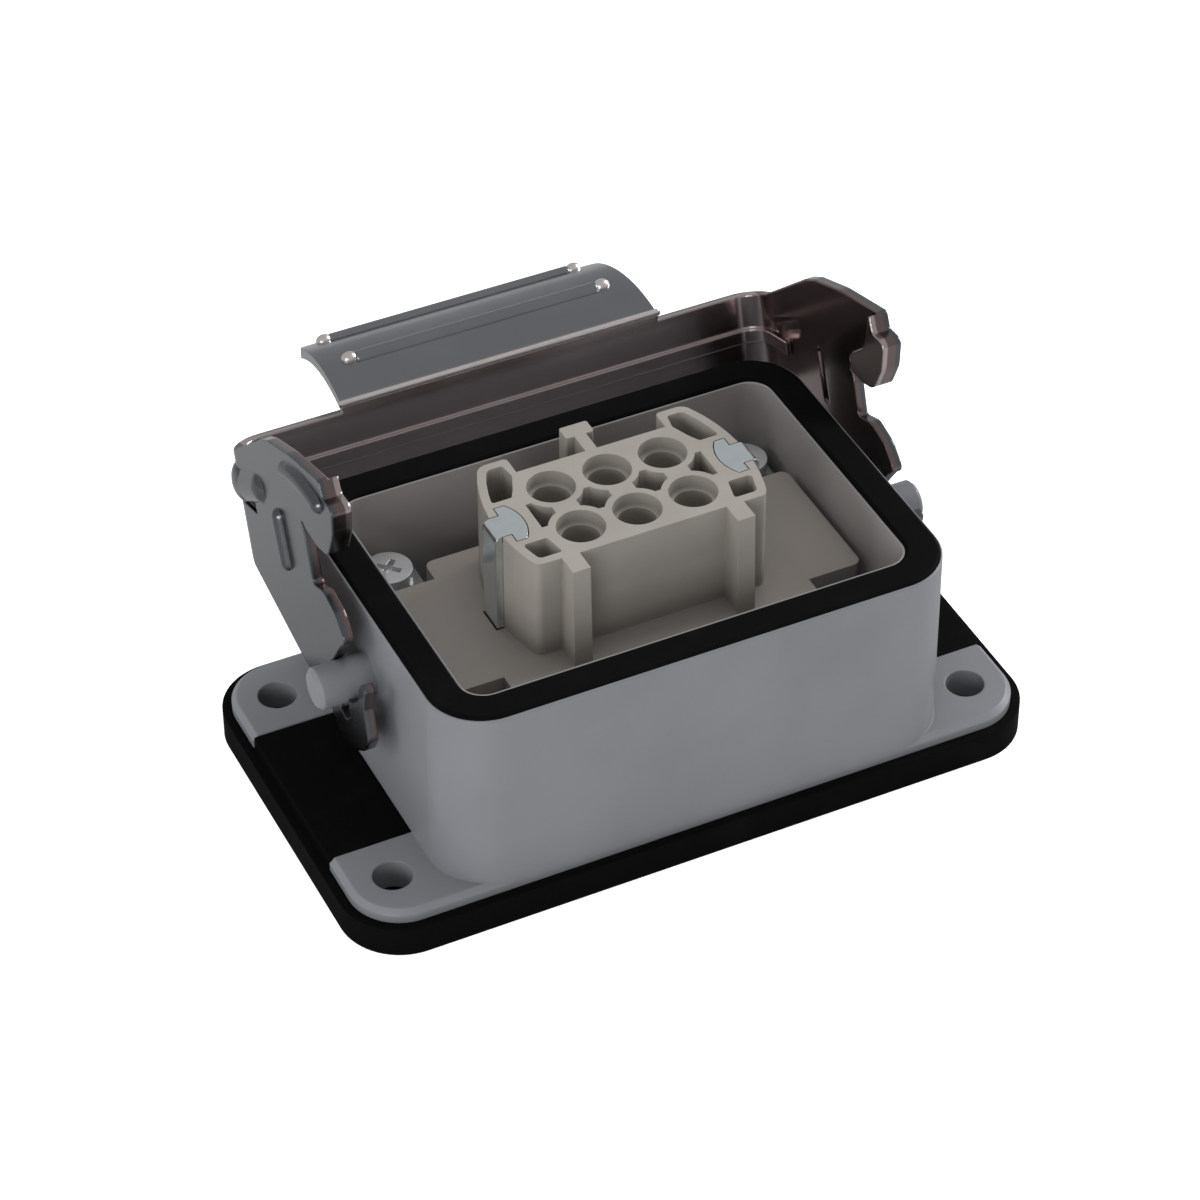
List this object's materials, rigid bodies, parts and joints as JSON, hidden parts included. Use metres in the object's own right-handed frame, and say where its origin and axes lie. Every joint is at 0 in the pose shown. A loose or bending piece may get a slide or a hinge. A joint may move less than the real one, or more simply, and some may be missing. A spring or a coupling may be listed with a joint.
{
  "type": "heavy duty rectangular connector",
  "caption": "Panel-mount rectangular connector housing with a sprung sheet metal locking lever, base and rim seals, and a screw-terminal socket insert.",
  "frame": {"origin": "centre of the panel hole pattern on the underside of the base gasket", "axes": "+Z out of the panel towards the mating face, +X along the housing, +Y towards the side where the open lever leans"},
  "size_m": [0.0824, 0.0692, 0.0449],
  "materials": {
    "powder_coat": "satin powder coat on die-cast metal",
    "seal_rubber": "matt black elastomer",
    "stainless": "polished stainless sheet",
    "insert_plastic": "moulded warm grey thermoplastic",
    "contact_metal": "turned copper alloy",
    "bracket_metal": "bright plated sheet",
    "screw_metal": "zinc plated steel"
  },
  "bodies": {
    "base": {"housing": "powder_coat", "base_gasket": "seal_rubber", "rim_gasket": "seal_rubber", "insert_body": "insert_plastic", "earth_bracket_left": "bracket_metal", "earth_bracket_right": "bracket_metal", "earth_screws": "screw_metal", "fixing_screws": "screw_metal", "terminal_screws": "screw_metal", "socket_contact_1": "contact_metal", "socket_contact_2": "contact_metal", "socket_contact_3": "contact_metal", "socket_contact_4": "contact_metal", "socket_contact_5": "contact_metal", "socket_contact_6": "contact_metal", "wire_guard_1": "bracket_metal", "wire_guard_2": "bracket_metal", "wire_guard_3": "bracket_metal", "wire_guard_4": "bracket_metal", "wire_guard_5": "bracket_metal", "wire_guard_6": "bracket_metal"},
    "lever": {"locking_lever": "stainless"}
  },
  "joints": [
    {"name": "lever_pivot", "type": "hinge", "parent": "base", "child": "lever", "pos_m": [0, 0, 0.0196], "axis": [1, 0, 0], "range_deg": [-28, 30]}
  ]
}
